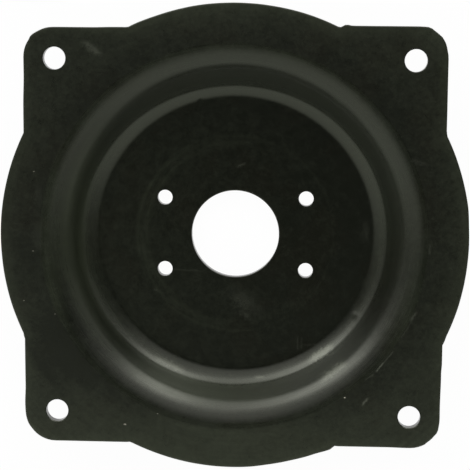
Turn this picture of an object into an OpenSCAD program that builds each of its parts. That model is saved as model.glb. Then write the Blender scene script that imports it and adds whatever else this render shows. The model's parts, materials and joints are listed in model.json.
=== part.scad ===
// Moulded rubber diaphragm for a hand or motor driven pump.
// One sheet of rubber: a flat clamping flange with four bolt lugs, a rolled wall that drops from it,
// and a flat disc at the bottom of the dish, bored for the piston's clamp plates.
// The origin is in the middle of the disc's underside, with +Z up towards the open side of the dish.

/* [Sheet] */
// Thickness of the rubber, the same all over
sheet_t = 3; // [1.5:0.1:4.5]

/* [Flange] */
// Diameter of the round flange
flange_d = 141.8; // [130:0.1:160]
// Spacing of the lug holes, the same both ways
lug_hole_spacing = 108; // [100:0.5:120]
// Diameter of the lug holes
lug_hole_d = 6.8; // [4:0.1:10]
// Distance from a lug hole's centre to the lug's edges
lug_margin = 9.5; // [7:0.1:14]
// Radius of the lugs' corners
lug_corner_r = 9; // [1:0.1:14]

/* [Rolled wall] */
// Diameter where the flat flange ends and the shoulder begins
crease_d = 117.6; // [108:0.1:124]
// Radius of the shoulder under the flange, on the open side
shoulder_r = 10; // [6:0.1:14]
// Slope of the wall's straight stretch, in degrees
wall_slope = 55; // [45:1:75]
// Radius of the fillet between the wall and the disc, on the open side
fillet_r = 6; // [3:0.1:9]
// Depth of the dish, from the flange's face to the disc's face
dish_depth = 12.1; // [8:0.1:18]

/* [Disc] */
// Diameter of the centre bore
bore_d = 27; // [16:0.1:34]
// Spacing of the clamp plate's screw holes across the disc
plate_hole_spacing_x = 43.6; // [40:0.1:60]
// Spacing of the clamp plate's screw holes along the disc
plate_hole_spacing_y = 22.3; // [12:0.1:40]
// Diameter of the clamp plate's screw holes
plate_hole_d = 4.6; // [2.5:0.1:6.5]

/* [Hidden] */
$fn = 180;

// How far cuts run past the faces that they cut
cut_over = 1;
// How far the wall's arcs run past the flats that they blend into, so that they always meet
arc_lap = 0.002;

flange_r = flange_d / 2;
flange_top = dish_depth + sheet_t;
lug_square = lug_hole_spacing + 2 * lug_margin;
// The lugs' plate reaches in under the round flange as far as the middle of its land
land_middle_r = (crease_d + flange_d) / 4;

// Section of the wall: across its straight stretch, along it, and the stretch's length
wall_across = [-sin(wall_slope), cos(wall_slope)];
wall_along = [-cos(wall_slope), -sin(wall_slope)];
arcs_drop = (shoulder_r + fillet_r) * (1 - cos(wall_slope));
wall_straight = (dish_depth - arcs_drop) / sin(wall_slope);

// Centres of the shoulder and of the fillet
shoulder_centre = [crease_d / 2, flange_top - shoulder_r + arc_lap];
fillet_centre = [
    shoulder_centre.x + (shoulder_r + fillet_r) * wall_across.x + wall_straight * wall_along.x,
    sheet_t + fillet_r - arc_lap
];

// What lies below one face of the sheet, in section: flange to the right, disc to the left
module below_face(shoulder, fillet, flange_face, disc_face) {
    outer = flange_r + cut_over;
    low = min(disc_face, 0) - cut_over;
    high = flange_face + cut_over;
    difference() {
        intersection() {
            union() {
                translate(shoulder_centre) circle(shoulder);
                polygon([
                    [shoulder_centre.x, high],
                    shoulder_centre,
                    shoulder_centre + wall_across * (shoulder - arc_lap),
                    fillet_centre - wall_across * (fillet - arc_lap),
                    fillet_centre,
                    [fillet_centre.x, disc_face],
                    [0, disc_face],
                    [0, low],
                    [outer, low],
                    [outer, high]
                ]);
            }
            translate([0, low]) square([outer, flange_face - low]);
        }
        translate(fillet_centre) circle(fillet);
    }
}

// Section of the disc, the rolled wall and the round flange, from the bore outwards
module rolled_section() {
    intersection() {
        difference() {
            below_face(shoulder_r, fillet_r, flange_top, sheet_t);
            below_face(shoulder_r - sheet_t, fillet_r + sheet_t, dish_depth, -cut_over);
        }
        translate([bore_d / 2, 0]) square([flange_r - bore_d / 2, flange_top]);
    }
}

// Outline of the square whose corners are the four lugs
module lug_outline() {
    straight = lug_square - 2 * lug_corner_r;
    square([lug_square, straight], center = true);
    square([straight, lug_square], center = true);
    for (x = [-1, 1], y = [-1, 1])
        translate([x, y] * straight / 2) circle(lug_corner_r);
}

module lugs() {
    translate([0, 0, dish_depth]) linear_extrude(sheet_t) difference() {
        lug_outline();
        circle(land_middle_r);
    }
}

// Four holes at the corners of a rectangle, through the sheet that lies on the given level
module corner_holes(spacing_x, spacing_y, d, level) {
    for (x = [-1, 1], y = [-1, 1])
        translate([x * spacing_x / 2, y * spacing_y / 2, level - cut_over])
            cylinder(d = d, h = sheet_t + 2 * cut_over);
}

module diaphragm() {
    color("#2c2e28") difference() {
        union() {
            rotate_extrude() rolled_section();
            lugs();
        }
        corner_holes(lug_hole_spacing, lug_hole_spacing, lug_hole_d, dish_depth);
        corner_holes(plate_hole_spacing_x, plate_hole_spacing_y, plate_hole_d, 0);
    }
}

diaphragm();
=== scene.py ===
import json
import math

import bpy
from mathutils import Matrix, Vector


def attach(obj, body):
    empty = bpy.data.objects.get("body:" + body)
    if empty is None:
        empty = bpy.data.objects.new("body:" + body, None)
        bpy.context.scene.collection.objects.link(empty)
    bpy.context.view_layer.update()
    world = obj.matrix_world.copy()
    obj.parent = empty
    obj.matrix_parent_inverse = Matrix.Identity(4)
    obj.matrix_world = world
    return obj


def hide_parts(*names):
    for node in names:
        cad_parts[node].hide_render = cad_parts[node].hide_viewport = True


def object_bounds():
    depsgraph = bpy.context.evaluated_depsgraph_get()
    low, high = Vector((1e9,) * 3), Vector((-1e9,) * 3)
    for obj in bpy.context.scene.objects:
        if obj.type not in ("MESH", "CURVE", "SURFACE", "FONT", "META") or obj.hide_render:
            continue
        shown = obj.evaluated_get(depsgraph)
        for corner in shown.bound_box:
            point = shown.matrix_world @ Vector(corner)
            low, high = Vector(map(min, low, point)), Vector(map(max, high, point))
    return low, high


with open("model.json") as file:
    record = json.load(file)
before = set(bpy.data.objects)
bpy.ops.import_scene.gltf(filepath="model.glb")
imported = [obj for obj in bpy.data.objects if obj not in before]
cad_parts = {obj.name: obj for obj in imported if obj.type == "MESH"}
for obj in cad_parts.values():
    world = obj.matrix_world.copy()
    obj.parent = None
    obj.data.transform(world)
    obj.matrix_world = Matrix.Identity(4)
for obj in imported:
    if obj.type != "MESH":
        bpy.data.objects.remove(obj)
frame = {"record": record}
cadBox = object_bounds()
mounts = {mount["name"]: mount for mount in frame["record"]["mounts"]}
mm = 0.001  # Blender works in metres, the sizes below are in millimetres


class Wire:  # a node's socket, so that sizes and masks can be written as plain sums
    def __init__(self, tree, socket):
        self.tree = tree
        self.socket = socket

    def math(self, operation, *others):
        node = self.tree.nodes.new("ShaderNodeMath")
        node.operation = operation
        for place, value in enumerate((self, *others)):
            connect(self.tree, value, node.inputs[place])
        return Wire(self.tree, node.outputs[0])

    def __add__(self, other):
        return self.math("ADD", other)

    def __sub__(self, other):
        return self.math("SUBTRACT", other)

    def __mul__(self, other):
        return self.math("MULTIPLY", other)

    def __truediv__(self, other):
        return self.math("DIVIDE", other)

    def __rsub__(self, other):
        return self * -1.0 + other

    __radd__ = __add__
    __rmul__ = __mul__

    def ramp(self, low, high):  # 0 below low, 1 above high, smooth between them
        node = self.tree.nodes.new("ShaderNodeMapRange")
        node.interpolation_type = "SMOOTHSTEP"
        connect(self.tree, self, node.inputs["Value"])
        connect(self.tree, low, node.inputs["From Min"])
        connect(self.tree, high, node.inputs["From Max"])
        return Wire(self.tree, node.outputs["Result"])

    def clamp(self):
        return self.math("MAXIMUM", 0.0).math("MINIMUM", 1.0)

    def bell(self, middle, spread):  # 1 at the middle, falling away to both sides
        off = (self - middle) / spread
        return (off * off * -1.0).math("EXPONENT")


def connect(tree, value, socket):
    if isinstance(value, Wire):
        tree.links.new(value.socket, socket)
    elif value is not None:
        socket.default_value = value


def addNode(tree, kind, inputs=None, output=0, **settings):
    node = tree.nodes.new(kind)
    for name, value in settings.items():
        setattr(node, name, value)
    for name, value in (inputs or {}).items():
        connect(tree, value, node.inputs[name])
    return Wire(tree, node.outputs[output])


def splitVector(tree, vector):
    split = tree.nodes.new("ShaderNodeSeparateXYZ")
    connect(tree, vector, split.inputs[0])
    return [Wire(tree, socket) for socket in split.outputs]


def inMillimetres(tree, place):
    return addNode(tree, "ShaderNodeVectorMath", {0: place, "Scale": 1 / mm}, operation="SCALE")


def floats(*names):
    return [(name, "Float") for name in names]


def newGroup(name, kind, inputs, outputs):
    tree = bpy.data.node_groups.new(name, kind)
    for label, socketType in inputs:
        tree.interface.new_socket(label, in_out="INPUT", socket_type="NodeSocket" + socketType)
    for label, socketType in outputs:
        tree.interface.new_socket(label, in_out="OUTPUT", socket_type="NodeSocket" + socketType)
    given = tree.nodes.new("NodeGroupInput")
    result = tree.nodes.new("NodeGroupOutput")
    return tree, {label: Wire(tree, given.outputs[label]) for label, _ in inputs}, result


# Camera, fitted to the lug holes, the flange's arcs, the bore and the screw holes
photoPixels = 470
cameraFit = {
    "distance": 483.2,  # from the middle of the flange's face
    "toRight": 3.403,  # degrees off the diaphragm's axis
    "toTop": 7.844,
    "roll": 0.32,
    "focalPixels": 1600.0,
    "flangePixel": (232.96, 239.20),  # where the flange's middle shows
}
flangeTop = cadBox[1].z / mm
discTop = mounts["disc_face"]["pos_m"][2] / mm
photoMiddle = photoPixels / 2
lookAt = (Matrix.Rotation(math.radians(cameraFit["roll"]), 3, "Z")
          @ Matrix.Rotation(math.radians(cameraFit["toRight"]), 3, "Y")
          @ Matrix.Rotation(math.radians(-cameraFit["toTop"]), 3, "X"))
cameraPlace = Vector((0, 0, flangeTop)) + lookAt.col[2] * cameraFit["distance"]
panRight = math.atan((photoMiddle - cameraFit["flangePixel"][0]) / cameraFit["focalPixels"])
panUp = math.atan((cameraFit["flangePixel"][1] - photoMiddle) / cameraFit["focalPixels"])
cameraTurn = lookAt @ Matrix.Rotation(-panRight, 3, "Y") @ Matrix.Rotation(panUp, 3, "X")


def addCamera():
    data = bpy.data.cameras.new("photoCamera")
    data.lens = data.sensor_width * cameraFit["focalPixels"] / photoPixels
    camera = bpy.data.objects.new("photoCamera", data)
    camera.matrix_world = Matrix.Translation(cameraPlace * mm) @ cameraTurn.to_4x4()
    bpy.context.collection.objects.link(camera)
    bpy.context.scene.camera = camera


def onFace(pixel, level):  # where a pixel of the photograph falls on a level face
    across = (pixel[0] - photoMiddle) / cameraFit["focalPixels"]
    down = (pixel[1] - photoMiddle) / cameraFit["focalPixels"]
    ray = cameraTurn @ Vector((across, -down, -1))
    return cameraPlace + ray * ((level - cameraPlace.z) / ray.z)


addCamera()
print("camera set")


# Diaphragm: one section turned round the bore, drawn out into the lugs, and holed
diaphragm = {
    "creaseRadius": 58.8,  # where the flat land ends and the shoulder begins
    "shoulderRadius": 10.0,
    "wallSlope": 55.0,
    "filletRadius": 6.0,
    "lugMargin": 9.5,  # from a lug hole's middle to the lug's edges
    "lugCorner": 9.0,
    "edgeRound": 0.22,
    "columns": 532,  # steps round, with one on each corner of the outline
    "holeColumns": 56,
    "wave": 0.05,  # how far the moulded faces wander
    "waveScale": 60.0,
    "waveFrom": 1.5,  # and how high above the floor they do so fully
    "trim": 0.08,  # how far the cut edge wanders
    "trimScale": 70.0,
    "edgeMargin": 0.4,  # a narrow row of faces beside each edge
    "weld": 0.01,  # points that are closer are one
    "crispAngle": 38,  # degrees from which an edge is shaded sharp
}
wallSet = {  # the wall has set steeper on the left than at the top: degrees round, and millimetres out
    "plain": 0.3,
    "left": {"middle": 200, "spread": 48, "out": 0.75},
    "top": {"middle": 93, "spread": 40, "out": -0.5},
    "foot": {"radius": 47.0, "width": 1.8},  # the wall's foot moves out
    "head": {"radius": 50.8, "width": 1.8, "share": -0.6},  # and its head moves in, by a share of that
    "heel": {"radius": 44.2, "width": 1.6, "out": -0.3},  # the fillet reaches further in all round
    "shoulder": {"radius": 52.6, "width": 2.6, "middle": 290, "spread": 30, "out": -0.42},  # drawn in
}
trims = {  # where the cut edge leaves the plain outline: degrees round, how softly, and millimetres out
    "rightArc": {"start": 6, "end": 27, "soft": (3, 0.5), "out": 0.25},
    "topRightLug": {"start": 45, "end": 63.4, "soft": (3, 0.6), "out": 0.74},
    "topRightNub": {"start": 61.8, "end": 63.4, "soft": (0.5, 0.5), "out": 0.28},
    "topRightCorner": {"start": 42.6, "end": 45.2, "soft": (0.6, 0.6), "out": 0.26},
    "topRightHeel": {"start": 47.2, "end": 48.6, "soft": (0.5, 0.3), "out": 0.22},
    "topArc": {"start": 78, "end": 112, "soft": (10, 3), "out": -0.14},
    "topLeftLug": {"start": 117, "end": 145, "soft": (1, 3), "out": -0.28},
    "topLeftFoot": {"start": 117.5, "end": 122, "soft": (0.6, 2), "out": 0.14},
    "topLeftCorner": {"start": 134.2, "end": 135.6, "soft": (0.8, 0.3), "out": 0.24},
    "bottomLeftLug": {"start": 205.5, "end": 221, "soft": (0.7, 2), "out": 0.38},
    "bottomLeftCorner": {"start": 217.5, "end": 223.4, "soft": (1.5, 0.8), "out": 0.27},
    "bottomLeftSide": {"start": 223, "end": 243.5, "soft": (2, 0.7), "out": 0.18},
    "bottomArc": {"start": 277, "end": 287, "soft": (3, 3), "out": -0.18},
    "bottomStep": {"start": 293, "end": 295.7, "soft": (2.5, 0.4), "out": 0.5},
    "bottomRightLug": {"start": 296.5, "end": 311, "soft": (0.5, 2), "out": 0.15},
    "bottomRightHeel": {"start": 309, "end": 313.6, "soft": (2, 0.4), "out": 0.2},
    "bottomRightTip": {"start": 316.5, "end": 317.4, "soft": (0.4, 0.3), "out": 0.2},
    "bottomRightCorner": {"start": 318, "end": 324, "soft": (1, 3), "out": -0.22},
    "bottomRightRise": {"start": 328.6, "end": 335.4, "soft": (1, 0.8), "out": 0.2},
}
dents = {  # a blister and a nick at the foot of the wall: the photograph's pixel, and millimetres
    "blister": {"pixel": (355, 315), "level": 3.8, "width": 0.9, "out": 0.12},
    "nick": {"pixel": (200, 97.5), "level": 3.6, "width": 0.7, "out": -0.15},
}
sectionRows = {  # rows of faces along each stretch of the section
    "margin": 1, "disc": 10, "fillet": 14, "wall": 8, "shoulder": 22, "land": 8, "rimEdge": 3, "rim": 2,
    "landBack": 5, "shoulderBack": 12, "wallBack": 4, "filletBack": 14, "discBack": 5,
}
quarterTurn = math.pi / 2


def sine(angle):
    return angle.math("SINE") if isinstance(angle, Wire) else math.sin(angle)


def cosine(angle):
    return angle.math("COSINE") if isinstance(angle, Wire) else math.cos(angle)


class Section:  # a line that is drawn by lengths and turns, point by point along the rows of a grid
    def __init__(self, row, radius, height):
        self.row = row
        self.radius = radius
        self.height = height
        self.heading = 0.0
        self.drawn = 0

    def share(self, rows):
        part = ((self.row - float(self.drawn)) / float(rows)).clamp()
        self.drawn += rows
        return part

    def line(self, rows, length):
        run = self.share(rows) * length
        self.radius = self.radius + run * cosine(self.heading)
        self.height = self.height + run * sine(self.heading)

    def arc(self, rows, radius, turn):  # a radius below zero turns to the right
        heading = self.heading + turn * self.share(rows)
        self.radius = self.radius + radius * (sine(heading) - sine(self.heading))
        self.height = self.height + radius * (cosine(self.heading) - cosine(heading))
        self.heading = self.heading + turn

    def turn(self, angle):
        self.heading = self.heading + angle


def turnedGrid(tree, columns, rows):  # a grid with the column's angle and the row's number of each point
    grid = addNode(tree, "GeometryNodeMeshGrid", {"Vertices X": columns + 1, "Vertices Y": rows + 1})
    index = addNode(tree, "GeometryNodeInputIndex")
    column = (index / float(rows + 1)).math("FLOOR")
    row = index - column * float(rows + 1)
    return grid, column * (-2 * math.pi / columns), row


def turnedPlace(tree, angle, radius, height):
    return addNode(tree, "ShaderNodeCombineXYZ", {
        "X": radius * angle.math("COSINE") * mm,
        "Y": radius * angle.math("SINE") * mm,
        "Z": height * mm,
    })


def placeAndClose(tree, grid, place):
    moved = addNode(tree, "GeometryNodeSetPosition", {"Geometry": grid, "Position": place})
    weld = diaphragm["weld"] * mm
    return addNode(tree, "GeometryNodeMergeByDistance", {"Geometry": moved, "Distance": weld})


def buildHolePlug():  # what is taken out for one hole, bevelled where it meets the faces
    tree, given, result = newGroup(
        "holePlug", "GeometryNodeTree",
        floats("Hole Radius", "Thickness", "Bevel"),
        [("Geometry", "Geometry")])
    overrun = 1.0  # past both faces
    bevelRun = given["Bevel"] + overrun
    widest = given["Hole Radius"] + bevelRun
    grid, angle, row = turnedGrid(tree, diaphragm["holeColumns"], 5)
    section = Section(row, 0.0, given["Thickness"] + overrun)
    section.line(1, widest)
    section.turn(-1.5 * quarterTurn)
    section.line(1, bevelRun * math.sqrt(2))
    section.turn(0.5 * quarterTurn)
    section.line(1, given["Thickness"] - given["Bevel"] * 2.0)
    section.turn(0.5 * quarterTurn)
    section.line(1, bevelRun * math.sqrt(2))
    section.turn(-1.5 * quarterTurn)
    section.line(1, widest)
    plug = placeAndClose(tree, grid, turnedPlace(tree, angle, section.radius, section.height))
    tree.links.new(plug.socket, result.inputs["Geometry"])
    return tree


def holePattern(tree, plug, spacingX, spacingY, holeRadius, level, thickness, bevel):
    corners = addNode(tree, "GeometryNodeCurvePrimitiveQuadrilateral",
                      {"Width": spacingX * mm, "Height": spacingY * mm})
    oneHole = tree.nodes.new("GeometryNodeGroup")
    oneHole.node_tree = plug
    connect(tree, holeRadius, oneHole.inputs["Hole Radius"])
    connect(tree, thickness, oneHole.inputs["Thickness"])
    connect(tree, bevel, oneHole.inputs["Bevel"])
    lift = addNode(tree, "ShaderNodeCombineXYZ", {"Z": level * mm})
    lifted = addNode(tree, "GeometryNodeTransform",
                     {"Geometry": Wire(tree, oneHole.outputs[0]), "Translation": lift})
    holes = addNode(tree, "GeometryNodeInstanceOnPoints", {"Points": corners, "Instance": lifted})
    return addNode(tree, "GeometryNodeRealizeInstances", {"Geometry": holes})


def lugReach(angle, half, corner):  # how far out the rounded square of the lugs is, at each angle
    longSide = angle.math("COSINE").math("ABSOLUTE").math("MAXIMUM", angle.math("SINE").math("ABSOLUTE"))
    shortSide = angle.math("COSINE").math("ABSOLUTE").math("MINIMUM", angle.math("SINE").math("ABSOLUTE"))
    core = half - corner
    onSide = half / longSide
    gap = core * (longSide - shortSide)
    bulge = (corner * corner - gap * gap).math("MAXIMUM", 0.0).math("SQRT")
    inCorner = core * (longSide + shortSide) + bulge
    isCorner = (half * shortSide / longSide).math("GREATER_THAN", core)
    return onSide + (inCorner - onSide) * isCorner


def bearingOf(angle):  # degrees round from the right, as the columns run the other way
    return angle.math("DEGREES") + 360.0


def ring(radius, part):  # a soft ring round the bore
    return radius.bell(part["radius"], part["width"])


def wallShift(angle, radius):  # how far the wall has set out or in
    bearing = bearingOf(angle)
    out = wallSet["plain"]
    for side in (wallSet["left"], wallSet["top"]):
        out = bearing.bell(side["middle"], side["spread"]) * side["out"] + out
    head = wallSet["head"]
    heel = wallSet["heel"]
    drawn = wallSet["shoulder"]
    drawnIn = ring(radius, drawn) * bearing.bell(drawn["middle"], drawn["spread"]) * drawn["out"]
    tilted = out * (ring(radius, wallSet["foot"]) + ring(radius, head) * head["share"])
    return tilted + ring(radius, heel) * heel["out"] + drawnIn


def trimOff(angle):  # how far the cut edge is off the plain outline
    bearing = bearingOf(angle)
    off = 0.0
    for trim in trims.values():
        softStart, softEnd = trim["soft"]
        begun = bearing.ramp(trim["start"] - softStart, trim["start"] + softStart)
        ended = bearing.ramp(trim["end"] - softEnd, trim["end"] + softEnd)
        off = (begun - ended) * trim["out"] + off
    return off


def dentDepth(x, y):
    depth = 0.0
    for dent in dents.values():
        middle = onFace(dent["pixel"], dent["level"])
        depth = x.bell(middle.x, dent["width"]) * y.bell(middle.y, dent["width"]) * dent["out"] + depth
    return depth


def buildMoulding():
    tree, given, result = newGroup(
        "rolledSheet", "GeometryNodeTree",
        floats("Thickness", "Flange Radius", "Flange Top", "Crease Radius", "Shoulder Radius", "Wall Slope",
               "Fillet Radius", "Bore Radius", "Edge Round", "Lug Spacing", "Lug Hole Radius", "Lug Margin",
               "Lug Corner", "Plate Spacing X", "Plate Spacing Y", "Plate Hole Radius", "Wave", "Trim")
        + [("Material", "Material")],
        [("Geometry", "Geometry")])
    thickness = given["Thickness"]
    edge = given["Edge Round"]
    crease = given["Crease Radius"]
    shoulder = given["Shoulder Radius"]
    fillet = given["Fillet Radius"]
    slope = given["Wall Slope"]
    bore = given["Bore Radius"]
    flange = given["Flange Radius"]

    # the section, from the bore's top edge out along the open side and back underneath
    depth = given["Flange Top"] - thickness
    straight = (depth - (shoulder + fillet) * (1.0 - cosine(slope))) / sine(slope)
    discRadius = crease - (shoulder + fillet) * sine(slope) - straight * cosine(slope)
    margin = diaphragm["edgeMargin"]
    discFlat = discRadius - bore - edge - margin
    landFlat = flange - edge - margin - crease
    wallHeight = thickness - edge * 2.0
    rows = sectionRows
    rowCount = sum(rows.values()) + 3 * (rows["rimEdge"] + rows["margin"]) + rows["rim"]
    grid, angle, row = turnedGrid(tree, diaphragm["columns"], rowCount)
    section = Section(row, bore + edge, thickness)
    section.line(rows["margin"], margin)
    section.line(rows["disc"], discFlat)
    section.arc(rows["fillet"], fillet, slope)
    section.line(rows["wall"], straight)
    section.arc(rows["shoulder"], shoulder * -1.0, slope * -1.0)
    section.line(rows["land"], landFlat)
    section.line(rows["margin"], margin)
    section.arc(rows["rimEdge"], edge * -1.0, -quarterTurn)
    section.line(rows["rim"], wallHeight)
    section.arc(rows["rimEdge"], edge * -1.0, -quarterTurn)
    section.line(rows["margin"], margin)
    section.line(rows["landBack"], landFlat)
    section.arc(rows["shoulderBack"], shoulder - thickness, slope)
    section.line(rows["wallBack"], straight)
    section.arc(rows["filletBack"], (fillet + thickness) * -1.0, slope * -1.0)
    section.line(rows["discBack"], discFlat)
    section.line(rows["margin"], margin)
    section.arc(rows["rimEdge"], edge * -1.0, -quarterTurn)
    section.line(rows["rim"], wallHeight)
    section.arc(rows["rimEdge"], edge * -1.0, -quarterTurn)

    # the land is drawn out from the crease to the outline, which is the flange's circle or the lugs' square
    half = given["Lug Spacing"] / 2.0 + given["Lug Margin"]
    outline = lugReach(angle, half, given["Lug Corner"]).math("MAXIMUM", flange)
    around = turnedPlace(tree, angle, flange, 0.0)
    unevenness = addNode(tree, "ShaderNodeTexNoise",
                         {"Vector": around, "Scale": diaphragm["trimScale"], "Detail": 3.0})
    outline = outline + (unevenness - 0.5) * given["Trim"] * 2.0 + trimOff(angle)
    drawnOut = ((section.radius - crease) / landFlat).clamp()
    radius = section.radius + drawnOut * (outline - flange) + wallShift(angle, section.radius)
    sheet = placeAndClose(tree, grid, turnedPlace(tree, angle, radius, section.height))

    # moulded faces are never quite true, but the disc's back lies flat on the floor
    position = addNode(tree, "GeometryNodeInputPosition")
    normal = addNode(tree, "GeometryNodeInputNormal")
    x, y, z = splitVector(tree, inMillimetres(tree, position))
    offFloor = z.ramp(0.0, diaphragm["waveFrom"])
    wander = addNode(tree, "ShaderNodeTexNoise",
                     {"Vector": position, "Scale": diaphragm["waveScale"], "Detail": 2.0})
    openSide = splitVector(tree, normal)[2].math("GREATER_THAN", 0.0)
    outward = (wander - 0.5) * offFloor * given["Wave"] * 2.0 + dentDepth(x, y) * openSide
    push = addNode(tree, "ShaderNodeVectorMath", {0: normal, "Scale": outward * mm}, operation="SCALE")
    sheet = addNode(tree, "GeometryNodeSetPosition", {"Geometry": sheet, "Offset": push})

    # holes
    plug = buildHolePlug()
    lugHoles = holePattern(tree, plug, given["Lug Spacing"], given["Lug Spacing"], given["Lug Hole Radius"],
                           depth, thickness, edge)
    plateHoles = holePattern(tree, plug, given["Plate Spacing X"], given["Plate Spacing Y"],
                             given["Plate Hole Radius"], 0.0, thickness, edge)
    holed = tree.nodes.new("GeometryNodeMeshBoolean")
    holed.operation = "DIFFERENCE"
    holed.solver = "MANIFOLD"
    tree.links.new(sheet.socket, holed.inputs["Mesh 1"])
    for holes in (lugHoles, plateHoles):
        tree.links.new(holes.socket, holed.inputs["Mesh 2"])
    smooth = addNode(tree, "GeometryNodeSetShadeSmooth", {"Geometry": Wire(tree, holed.outputs["Mesh"])})
    bend = addNode(tree, "GeometryNodeInputMeshEdgeAngle", output="Unsigned Angle")
    crisp = addNode(tree, "GeometryNodeSetShadeSmooth", domain="EDGE", inputs={
        "Geometry": smooth,
        "Selection": bend.math("GREATER_THAN", math.radians(diaphragm["crispAngle"])),
        "Shade Smooth": False,
    })
    real = addNode(tree, "GeometryNodeRealizeInstances", {"Geometry": crisp})
    finished = addNode(tree, "GeometryNodeSetMaterial", {"Geometry": real, "Material": given["Material"]})
    tree.links.new(finished.socket, result.inputs["Geometry"])
    return tree


def makeDiaphragm(material):
    tree = buildMoulding()
    bore = mounts["centre_bore"]["dims"]
    lug = mounts["lug_holes"]["dims"]
    plate = mounts["clamp_plate_holes"]["dims"]
    sizes = {
        "Thickness": bore["length_mm"],
        "Flange Radius": cadBox[1].x / mm,
        "Flange Top": flangeTop,
        "Crease Radius": diaphragm["creaseRadius"],
        "Shoulder Radius": diaphragm["shoulderRadius"],
        "Wall Slope": math.radians(diaphragm["wallSlope"]),
        "Fillet Radius": diaphragm["filletRadius"],
        "Bore Radius": bore["r_mm"],
        "Edge Round": diaphragm["edgeRound"],
        "Lug Spacing": lug["spacing_x_mm"],
        "Lug Hole Radius": lug["hole_r_mm"],
        "Lug Margin": diaphragm["lugMargin"],
        "Lug Corner": diaphragm["lugCorner"],
        "Plate Spacing X": plate["spacing_x_mm"],
        "Plate Spacing Y": plate["spacing_y_mm"],
        "Plate Hole Radius": plate["hole_r_mm"],
        "Wave": diaphragm["wave"],
        "Trim": diaphragm["trim"],
        "Material": material,
    }
    piece = bpy.data.objects.new("moulded_diaphragm", bpy.data.meshes.new("moulded_diaphragm"))
    bpy.context.collection.objects.link(piece)
    modifier = piece.modifiers.new("rolledSheet", "NODES")
    modifier.node_group = tree
    for socket in tree.interface.items_tree:
        if socket.in_out == "INPUT":
            modifier[socket.identifier] = sizes[socket.name]
    depsgraph = bpy.context.evaluated_depsgraph_get()
    mesh = bpy.data.meshes.new_from_object(piece.evaluated_get(depsgraph), depsgraph=depsgraph)
    piece.modifiers.clear()
    piece.data = mesh
    return piece


# Rubber
rubber = {
    "clean": (0.0026, 0.0034, 0.0018, 1),
    "browned": (0.003, 0.0033, 0.0016, 1),
    "agedFrom": (0.45, 0.65),  # levels of the aged noise between which the rubber browns
    # the colour of dust, and of the painted light on the disc and the flange
    "dustyAndLit": (0.029, 0.034, 0.0215, 1),
    # the pale colour of scuffs, and of the painted highlights on the bright bands
    "scuffedAndHighlight": (0.085, 0.09, 0.07, 1),
    "speckled": (0.42, 0.40, 0.33, 1),
    "gloss": 0.5,
    "glossTint": (0.98, 1.0, 0.87, 1),
    "skin": {"strength": 0.06, "height": 0.2},
}
creaseRadius = diaphragm["creaseRadius"]
zones = {  # radii between which one stretch of the diaphragm turns into the next
    "offDisc": (42.0, 46.0),
    "wall": (45.0, 47.5),
    "shoulder": (creaseRadius - 8.0, creaseRadius - 4.0),
    "land": (creaseRadius - 0.4, creaseRadius + 0.6),
    "rim": (60.0, 70.0),
}
facings = {"openSide": (0.0, 0.2), "level": (0.1, 0.4)}  # how far a face looks up
noises = {
    "mottle": {"Scale": 0.3, "Detail": 5.0, "Roughness": 0.7},
    "grain": {"Scale": 0.9, "Detail": 4.0, "Roughness": 0.7},
    "streaks": {"Scale": 1.0, "Detail": 3.0},
    "drawn": {"Scale": 2.2, "Detail": 2.0},
    "aged": {"Scale": 0.06, "Detail": 3.0},
    "skin": {"Scale": 0.6, "Detail": 1.0},
}
streakRun = {"across": 0.9, "along": 2.0}  # how fine the streaks round the bore are
roughness = {
    "plain": 0.2,
    "mottle": 0.1,
    "land": 0.04,
    "cutEdge": -0.1,
    "drawn": 0.2,  # how unevenly the rolled wall shines
    "shoulder": {"radius": 56.0, "width": 2.2, "more": 0.06},  # most at the top and the bottom
    "wall": {"radius": 49.5, "width": 2.5, "more": 0.1},
    "dullShoulder": {"radius": 53.2, "width": 1.8, "more": 0.14,  # at the top left
                     "middle": (-46, 30), "across": 20, "along": 24},
}
dustAndLightAmounts = {
    "disc": 0.035,
    "discLightDrift": (-0.0014, 0.0003),  # painted light, the disc made lighter towards the left where the light falls: more for each millimetre to the right and to the top
    "wall": 0.26,
    "shoulder": 0.05,
    "crease": {"radius": creaseRadius - 0.9, "width": 1.2, "more": 0.18, "sides": 0.4},  # less at the sides
    "land": 0.06,
    "rim": 0.17,  # more towards the outer edge
    "edge": {"width": 2.2, "more": 0.22},  # and most of all along it
    "uneven": {"streaks": 0.8, "mottle": 0.32, "grain": 0.4, "landGrain": 0.3},
    "contrast": 2.4,  # of the patches in the clamp plate's mark
}
# the clamp plate's mark: radii of its soft edges, dust on its left and right, and what stays bare
plateMark = {"inner": (26.0, 27.4), "outer": (30.6, 31.4), "left": 0.15, "right": 0.02, "bare": 0.4}
plateRings = {  # left by the clamp plate's edges
    "inner": {"radius": 28.3, "width": 0.5, "more": 0.06, "bare": 0.7},
    "outer": {"radius": 30.3, "width": 0.5, "more": 0.06, "bare": 0.7},
}
flangeStep = {  # the mark that a cover's rim has left on one lug
    "middle": (-60, -39), "across": 13, "along": 13,
    "step": {"radii": (72.3, 72.9), "more": 0.05},
    "groove": {"radius": 71.2, "width": 1.5, "more": -0.16},
}
wallPatches = {  # millimetres on the faces, and how much lighter the colour is made there
    "leftWall": {"middle": (-49, 4), "across": 9, "along": 36, "more": 0.5},
    "lowLeftWall": {"middle": (-22, -45), "across": 14, "along": 6, "more": 0.4},
    "lowWall": {"middle": (-6, -49), "across": 18, "along": 4, "more": 0.25},
    "rightWall": {"middle": (44, -22), "across": 12, "along": 22, "more": -0.18},
}
shoulderPatches = {
    "leftShoulder": {"middle": (-54.5, -2), "across": 4, "along": 26, "more": 0.33},
    "rightShoulder": {"middle": (52, -20), "across": 7, "along": 16, "more": 0.18},
}
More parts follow.
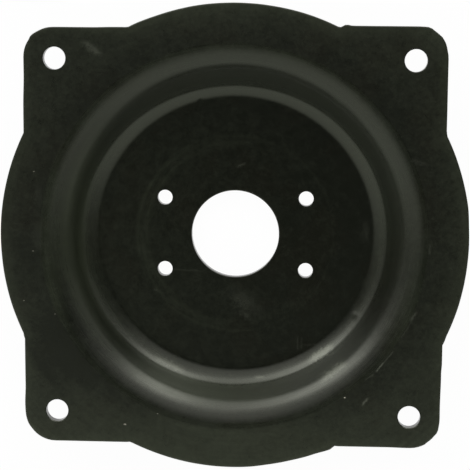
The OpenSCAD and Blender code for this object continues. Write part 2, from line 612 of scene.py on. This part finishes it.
# millimetres on the flange, and how much lighter the colour is made: painted light makes the low side
# lighter and the two top lugs darker, as the light falls; the other patches are lighter or darker spots
landDustAndLightPatches = {
    "litLowSide": {"middle": (0, -60), "across": 34, "along": 10, "more": 0.42},
    "topSide": {"middle": (-8, 68), "across": 28, "along": 8, "more": 0.1},
    "leftSide": {"middle": (-65, 0), "across": 6, "along": 16, "more": -0.1},
    "topLeftLug": {"middle": (-52, 50), "across": 18, "along": 18, "more": -0.06},
    "topRightLug": {"middle": (52, 50), "across": 22, "along": 22, "more": -0.08},
    "topRightCorner": {"middle": (61, 62), "across": 9, "along": 9, "more": 0.15},
    "bottomLeftCorner": {"middle": (-60, -62), "across": 12, "along": 10, "more": 0.15},
    "bottomRightCorner": {"middle": (59, -62), "across": 12, "along": 10, "more": 0.12},
    "lowLeftLand": {"middle": (-51, -35), "across": 10, "along": 10, "more": -0.32},
}
scuffs = {  # where the photograph shows them: pixels of both ends, and millimetres wide
    "topLeftLug": {"ends": ((87, 44.5), (97, 52)), "width": 1.6, "strength": 0.3},
    "bottomRightLug": {"ends": ((363, 404), (367, 399.5)), "width": 0.6, "strength": 0.5},
    "creaseTail": {"ends": ((366, 379.5), (373, 374.5)), "width": 0.4, "strength": 0.2},
    "creaseEnd": {"ends": ((376.5, 371), (382.5, 364)), "width": 0.4, "strength": 0.62},
    "creaseMiddle": {"ends": ((383, 363.5), (393, 352)), "width": 0.3, "strength": 0.25},
    "creaseStart": {"ends": ((402, 337), (411, 323)), "width": 0.4, "strength": 0.12},
    "rightTick": {"ends": ((430, 246), (430, 254)), "width": 0.5, "strength": 0.16},
    "rightStreak": {"ends": ((411.5, 319), (415.5, 314)), "width": 0.8, "strength": 0.27},
    "leftSmudge": {"ends": ((37.5, 191), (38, 200)), "width": 2.2, "strength": 0.06},
    "leftSmudgeToo": {"ends": ((37, 230), (38, 243)), "width": 2.4, "strength": 0.06},
    "topRightSmear": {"ends": ((415, 161), (424, 164)), "width": 1.2, "strength": 0.12},
}
discScuffs = {
    "aboveBore": {"ends": ((239, 166), (244, 163.5)), "width": 0.7, "strength": 0.17},
    "belowBore": {"ends": ((238, 297), (250, 306)), "width": 4.5, "strength": 0.12},
    "lowSpot": {"ends": ((243, 313), (247, 316)), "width": 1.5, "strength": 0.1},
    "rightSpot": {"ends": ((366, 227), (366, 235)), "width": 2.0, "strength": 0.1},
    "lowScratch": {"ends": ((297.5, 337), (297.5, 349)), "width": 0.45, "strength": 0.1},
    "lowScratchToo": {"ends": ((301.5, 338), (301.5, 348)), "width": 0.45, "strength": 0.08},
    "lowSmear": {"ends": ((305, 345), (315, 344.5)), "width": 0.6, "strength": 0.06},
    "leftScratch": {"ends": ((173, 269.5), (197, 270.5)), "width": 0.5, "strength": 0.1},
    "leftSpot": {"ends": ((155, 289), (157, 290)), "width": 0.8, "strength": 0.1},
}
filletHighlights = {  # painted highlights: glints on the bright band where the wall turns into the disc
    "lowRight": {"ends": ((314, 357.5), (328, 348)), "width": 1.9, "strength": 1.3},
    "lowMiddle": {"ends": ((257, 377), (262, 376.5)), "width": 0.8, "strength": 0.6},
    "lowLeft": {"ends": ((160, 358.5), (179, 368.5)), "width": 1.7, "strength": 0.6},
}
# painted highlight: a glint on the shoulder's bright band
shoulderHighlights = {
    "lowRight": {"ends": ((324.5, 379.3), (341.5, 366.7)), "width": 1.7, "strength": 0.8},
}
highlightLevels = {"fillet": discTop + 0.8, "shoulder": flangeTop - 1.3}  # heights of the painted highlights
markOverrun = 1.2  # added to a mark's length, in its own widths
specks = {  # pixels, and millimetres across
    "lowRight": {"at": (344.7, 397.8), "size": 0.3, "strength": 1.0},
    "lowLeft": {"at": (125, 424.5), "size": 0.4, "strength": 0.9},
    "left": {"at": (33, 251), "size": 0.26, "strength": 0.5},
    "leftLower": {"at": (24, 300.5), "size": 0.24, "strength": 0.5},
    "leftLow": {"at": (55, 314), "size": 0.22, "strength": 0.5},
    "leftUpper": {"at": (33.8, 171.5), "size": 0.26, "strength": 0.5},
    "crease": {"at": (157.5, 413.7), "size": 0.2, "strength": 0.5},
}


class Face:  # what the rubber's shader reads at each place on the diaphragm
    def __init__(self, tree):
        self.tree = tree
        self.place = inMillimetres(tree, addNode(tree, "ShaderNodeTexCoord", output="Object"))
        self.x, self.y, _ = splitVector(tree, self.place)
        self.radius = (self.x * self.x + self.y * self.y).math("SQRT")
        self.topAndBottom = self.y * self.y / (self.radius * self.radius)
        facing = splitVector(tree, addNode(tree, "ShaderNodeNewGeometry", output="Normal"))[2]
        self.openSide = facing.ramp(*facings["openSide"])
        self.upright = 1.0 - facing.math("ABSOLUTE").ramp(*facings["level"])
        self.offDisc = self.radius.ramp(*zones["offDisc"])
        self.onShoulder = self.radius.ramp(*zones["shoulder"])
        self.onLand = self.radius.ramp(*zones["land"])
        self.aroundBore = addNode(tree, "ShaderNodeCombineXYZ", {
            "X": self.radius * streakRun["across"],
            "Y": self.x / self.radius * streakRun["along"],
            "Z": self.y / self.radius * streakRun["along"],
        })
        self.mottle = self.noise("mottle", self.place)
        self.grain = self.noise("grain", self.place)
        self.streaks = self.noise("streaks", self.aroundBore)
        self.ragged = self.grain * 2.0 - 1.0

    def noise(self, name, place):
        return addNode(self.tree, "ShaderNodeTexNoise", {"Vector": place, **noises[name]})

    def spread(self, patch):  # a soft round patch
        middleX, middleY = patch["middle"]
        return self.x.bell(middleX, patch["across"]) * self.y.bell(middleY, patch["along"])

    def insideEdge(self):  # how far in from the plain outline
        lug = mounts["lug_holes"]["dims"]
        core = lug["spacing_x_mm"] / 2 + diaphragm["lugMargin"] - diaphragm["lugCorner"]
        offX = (self.x.math("ABSOLUTE") - core).math("MAXIMUM", 0.0)
        offY = (self.y.math("ABSOLUTE") - core).math("MAXIMUM", 0.0)
        fromLug = diaphragm["lugCorner"] - (offX * offX + offY * offY).math("SQRT")
        return fromLug.math("MAXIMUM", cadBox[1].x / mm - self.radius)


def discDustAndLight(face):  # little dust, but for the mark that a clamp plate has pressed into the disc, and painted light that makes the disc lighter towards the left
    lightDriftX, lightDriftY = dustAndLightAmounts["discLightDrift"]
    dustAndLight = face.x * lightDriftX + face.y * lightDriftY + dustAndLightAmounts["disc"]
    pressed = face.radius.ramp(*plateMark["inner"]) - face.radius.ramp(*plateMark["outer"])
    leftward = face.x / face.radius * -0.5 + 0.5  # 0 on the right, 1 on the left
    more = leftward * leftward * (plateMark["left"] - plateMark["right"]) + plateMark["right"]
    patches = face.streaks * dustAndLightAmounts["contrast"]
    dustAndLight = dustAndLight + pressed * more * (patches - plateMark["bare"]).clamp()
    for line in plateRings.values():
        dustAndLight = dustAndLight + ring(face.radius, line) * (patches - line["bare"]).clamp() * line["more"]
    return dustAndLight


def landDustAndLight(face):  # most dust at the outer edge, and painted light that makes the low side lighter
    dustAndLight = face.radius.ramp(*zones["rim"]) * dustAndLightAmounts["rim"] + dustAndLightAmounts["land"]
    dustAndLight = dustAndLight + face.insideEdge().bell(0.0, dustAndLightAmounts["edge"]["width"]) * dustAndLightAmounts["edge"]["more"]
    step = flangeStep["step"]
    groove = flangeStep["groove"]
    stepped = face.radius.ramp(*step["radii"]) * step["more"] + ring(face.radius, groove) * groove["more"]
    dustAndLight = dustAndLight + stepped * face.spread(flangeStep)
    for patch in landDustAndLightPatches.values():
        dustAndLight = dustAndLight + face.spread(patch) * patch["more"]
    return dustAndLight


def wallDust(face):
    dustAndLight = face.onShoulder * (dustAndLightAmounts["shoulder"] - dustAndLightAmounts["wall"]) + dustAndLightAmounts["wall"]
    fold = dustAndLightAmounts["crease"]
    alongFold = face.topAndBottom * (1.0 - fold["sides"]) + fold["sides"]
    dustAndLight = dustAndLight + ring(face.radius, fold) * alongFold * fold["more"]
    onWall = face.radius.ramp(*zones["wall"]) - face.onShoulder
    for patches, where in ((wallPatches, onWall), (shoulderPatches, face.onShoulder)):
        for patch in patches.values():
            dustAndLight = dustAndLight + face.spread(patch) * where * patch["more"]
    return dustAndLight


# dust over all faces, with the painted light that the disc and flange parts add
def dustAndLightOver(face):
    sideDustAndLight = landDustAndLight(face) * face.onLand + wallDust(face) * (1.0 - face.onLand)
    dustAndLight = discDustAndLight(face) * (1.0 - face.offDisc) + sideDustAndLight * face.offDisc
    uneven = dustAndLightAmounts["uneven"]
    dustAndLight = dustAndLight * ((face.streaks - 0.5) * uneven["streaks"] + 1.0) + (face.mottle - 0.5) * uneven["mottle"]
    return dustAndLight + (face.grain - 0.5) * (face.onLand * uneven["landGrain"] + uneven["grain"])


def buildWearMark():
    tree, given, result = newGroup(
        "wearMark", "ShaderNodeTree",
        floats("X", "Y", "Ragged", "Middle X", "Middle Y", "Turn", "Length", "Width"),
        floats("Mask"))
    offX = given["X"] - given["Middle X"]
    offY = given["Y"] - given["Middle Y"]
    lengthwise = offX * cosine(given["Turn"]) + offY * sine(given["Turn"])
    sideways = offY * cosine(given["Turn"]) - offX * sine(given["Turn"]) + given["Ragged"] * given["Width"]
    halfLength = given["Length"] / 2.0
    ends = 1.0 - lengthwise.math("ABSOLUTE").ramp(halfLength - given["Width"], halfLength + given["Width"])
    connect(tree, sideways.bell(0.0, given["Width"] / 2.0) * ends, result.inputs["Mask"])
    return tree


def addMark(face, wearMark, ends, width):  # ends are places on a face, in millimetres
    run = ends[1] - ends[0]
    node = face.tree.nodes.new("ShaderNodeGroup")
    node.node_tree = wearMark
    values = {
        "X": face.x, "Y": face.y, "Ragged": face.ragged,
        "Middle X": (ends[0].x + ends[1].x) / 2, "Middle Y": (ends[0].y + ends[1].y) / 2,
        "Turn": math.atan2(run.y, run.x), "Length": run.length + width * markOverrun, "Width": width,
    }
    for name, value in values.items():
        connect(face.tree, value, node.inputs[name])
    return Wire(face.tree, node.outputs["Mask"])


# real scuffs on the faces, and painted highlights on the fillet and shoulder bands
def scuffsAndHighlightsOver(face, wearMark):
    wornAndHighlighted = 0.0
    for marks, level in ((scuffs, flangeTop), (discScuffs, discTop),
                         (filletHighlights, highlightLevels["fillet"]), (shoulderHighlights, highlightLevels["shoulder"])):
        for mark in marks.values():
            ends = [onFace(pixel, level) for pixel in mark["ends"]]
            wornAndHighlighted = addMark(face, wearMark, ends, mark["width"]) * mark["strength"] + wornAndHighlighted
    return wornAndHighlighted * (face.mottle + 0.5) * face.openSide


def specksOver(face, wearMark):
    speckled = 0.0
    for speck in specks.values():
        middle = onFace(speck["at"], flangeTop)
        speckled = addMark(face, wearMark, [middle, middle], speck["size"]) * speck["strength"] + speckled
    return speckled * face.openSide


def roughnessOver(face):
    rough = roughness["plain"] + face.mottle * roughness["mottle"] + face.onLand * roughness["land"]
    rough = rough + face.upright * roughness["cutEdge"]
    shoulder = roughness["shoulder"]
    wall = roughness["wall"]
    dull = roughness["dullShoulder"]
    rough = rough + ring(face.radius, shoulder) * face.topAndBottom * shoulder["more"]
    rough = rough + ring(face.radius, wall) * wall["more"]
    rough = rough + face.spread(dull) * ring(face.radius, dull) * dull["more"]
    drawn = face.noise("drawn", face.aroundBore)
    return rough + (drawn - 0.5) * face.offDisc * (1.0 - face.onLand) * roughness["drawn"]


def blend(tree, share, first, second):
    colours = {"Factor": share, 6: first, 7: second}  # the node names all its pairs A and B
    return addNode(tree, "ShaderNodeMix", colours, output=2, data_type="RGBA")


def makeRubber():
    material = bpy.data.materials.new("blackRubber")
    material.use_nodes = True
    tree = material.node_tree
    shader = tree.nodes["Principled BSDF"]
    face = Face(tree)
    wearMark = buildWearMark()
    aged = face.noise("aged", face.place).ramp(*rubber["agedFrom"])
    colour = blend(tree, aged, rubber["clean"], rubber["browned"])
    # dust, and painted light on the disc and the flange's low side
    colour = blend(tree, dustAndLightOver(face).clamp(), colour, rubber["dustyAndLit"])
    # scuffs, and painted highlights on the bright bands, in one pale colour
    colour = blend(tree, scuffsAndHighlightsOver(face, wearMark).clamp(), colour, rubber["scuffedAndHighlight"])
    colour = blend(tree, specksOver(face, wearMark).clamp(), colour, rubber["speckled"])
    connect(tree, colour, shader.inputs["Base Color"])
    connect(tree, roughnessOver(face), shader.inputs["Roughness"])
    skin = rubber["skin"]
    bump = addNode(tree, "ShaderNodeBump", {
        "Height": face.noise("skin", face.place),
        "Strength": skin["strength"],
        "Distance": skin["height"] * mm,
    })
    connect(tree, bump, shader.inputs["Normal"])
    shader.inputs["Specular IOR Level"].default_value = rubber["gloss"]
    shader.inputs["Specular Tint"].default_value = rubber["glossTint"]
    return material


piece = makeDiaphragm(makeRubber())
print("diaphragm", len(piece.data.polygons), "faces")


# Studio: a white floor, and soft panels round a dark camera
floorLook = {"size": 12, "glow": 0.97, "paint": (0.85, 0.85, 0.85, 1)}
lampColours = {"plain": (1, 1, 1, 1), "front": (0.95, 1.0, 0.9, 1)}
panels = {  # degrees round from the picture's right, degrees up, how softly the ends go, and how bright
    "topLeft": {"Round": 128, "Half Width": 20, "Soft": 12, "Strength": 4.3,
                "Low": 0, "Rise": 20, "High": 44, "Fade": 7},
    "topMiddle": {"Round": 91, "Half Width": 16, "Soft": 10, "Strength": 2.0,
                  "Low": 0, "Rise": 20, "High": 44, "Fade": 7},
    "topRight": {"Round": 64, "Half Width": 12.5, "Soft": 6, "Strength": 4.6,
                 "Low": 0, "Rise": 20, "High": 44, "Fade": 7},
    "aboveTop": {"Round": 96, "Half Width": 52, "Soft": 14, "Strength": 1.05,
                 "Low": 38, "Rise": 4, "High": 76, "Fade": 9},
    "front": {"Round": -99, "Half Width": 69, "Soft": 22, "Strength": 0.88,
              "Low": 2, "Rise": 16, "High": 68, "Fade": 12},
    "left": {"Round": 152, "Half Width": 24, "Soft": 14, "Strength": 0.38,
             "Low": 2, "Rise": 4, "High": 45, "Fade": 14},
    "right": {"Round": 32, "Half Width": 20, "Soft": 14, "Strength": 0.28,
              "Low": 2, "Rise": 4, "High": 45, "Fade": 14},
    "around": {"Round": 180, "Half Width": 172, "Soft": 10, "Strength": 0.16,
               "Low": 0, "Rise": 4, "High": 56, "Fade": 16},
    "overhead": {"Round": 0, "Half Width": 200, "Soft": 5, "Strength": 0.03,
                 "Low": 40, "Rise": 4, "High": 120, "Fade": 5},
}
panelFoot = 2.0  # degrees that a panel's light begins below its low end
nearZero = 0.0001  # keeps a division from failing


def buildPanel():
    tree, given, result = newGroup(
        "softPanel", "ShaderNodeTree",
        [("Direction", "Vector")]
        + floats("Round", "Half Width", "Soft", "Low", "Rise", "High", "Fade", "Strength"),
        floats("Light"))
    x, y, z = splitVector(tree, given["Direction"])
    level = (x * x + y * y).math("SQRT").math("MAXIMUM", nearZero)
    facing = given["Round"].math("RADIANS")
    along = (x * facing.math("COSINE") + y * facing.math("SINE")) / level
    aside = along.math("MINIMUM", 1.0).math("MAXIMUM", -1.0).math("ARCCOSINE").math("DEGREES")
    height = z.math("ARCTAN2", level).math("DEGREES")
    soft = given["Soft"]
    across = 1.0 - aside.ramp(given["Half Width"] - soft, given["Half Width"] + soft)
    above = height.ramp(given["Low"] - panelFoot, given["Low"] + given["Rise"])
    below = 1.0 - height.ramp(given["High"] - given["Fade"], given["High"] + given["Fade"])
    connect(tree, across * above * below * given["Strength"], result.inputs["Light"])
    return tree


def makeStudio():
    world = bpy.data.worlds.new("studio")
    bpy.context.scene.world = world
    world.use_nodes = True
    tree = world.node_tree
    background = tree.nodes["Background"]
    direction = addNode(tree, "ShaderNodeTexCoord", output="Generated")
    panel = buildPanel()
    lights = {}
    for name, values in panels.items():
        node = tree.nodes.new("ShaderNodeGroup")
        node.node_tree = panel
        node.label = name
        connect(tree, direction, node.inputs["Direction"])
        for label, value in values.items():
            node.inputs[label].default_value = value
        lights[name] = Wire(tree, node.outputs["Light"])
    light = sum(lights.values())
    seen = addNode(tree, "ShaderNodeLightPath", output="Is Camera Ray")
    connect(tree, light + seen * (1.0 - light), background.inputs["Strength"])
    fromFront = lights["front"] / light.math("MAXIMUM", nearZero) * (1.0 - seen)
    lampColour = blend(tree, fromFront, lampColours["plain"], lampColours["front"])
    connect(tree, lampColour, background.inputs["Color"])


def makeFloor():
    material = bpy.data.materials.new("whiteFloor")
    material.use_nodes = True
    tree = material.node_tree
    tree.nodes.clear()
    path = tree.nodes.new("ShaderNodeLightPath")
    seen = Wire(tree, path.outputs["Is Camera Ray"])
    for name in ("Is Glossy Ray", "Is Transmission Ray"):
        seen = seen.math("MAXIMUM", Wire(tree, path.outputs[name]))
    paint = addNode(tree, "ShaderNodeBsdfDiffuse", {"Color": floorLook["paint"]})
    glow = addNode(tree, "ShaderNodeEmission")
    mix = addNode(tree, "ShaderNodeMixShader", {0: seen * floorLook["glow"], 1: paint, 2: glow})
    output = tree.nodes.new("ShaderNodeOutputMaterial")
    tree.links.new(mix.socket, output.inputs["Surface"])
    bpy.ops.mesh.primitive_plane_add(size=floorLook["size"])
    floor = bpy.context.object
    floor.name = "floor"
    floor.data.materials.append(material)


makeStudio()
makeFloor()
print("studio set")

bpy.context.scene.view_settings.view_transform = "Standard"
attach(piece, "root")
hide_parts("diaphragm")
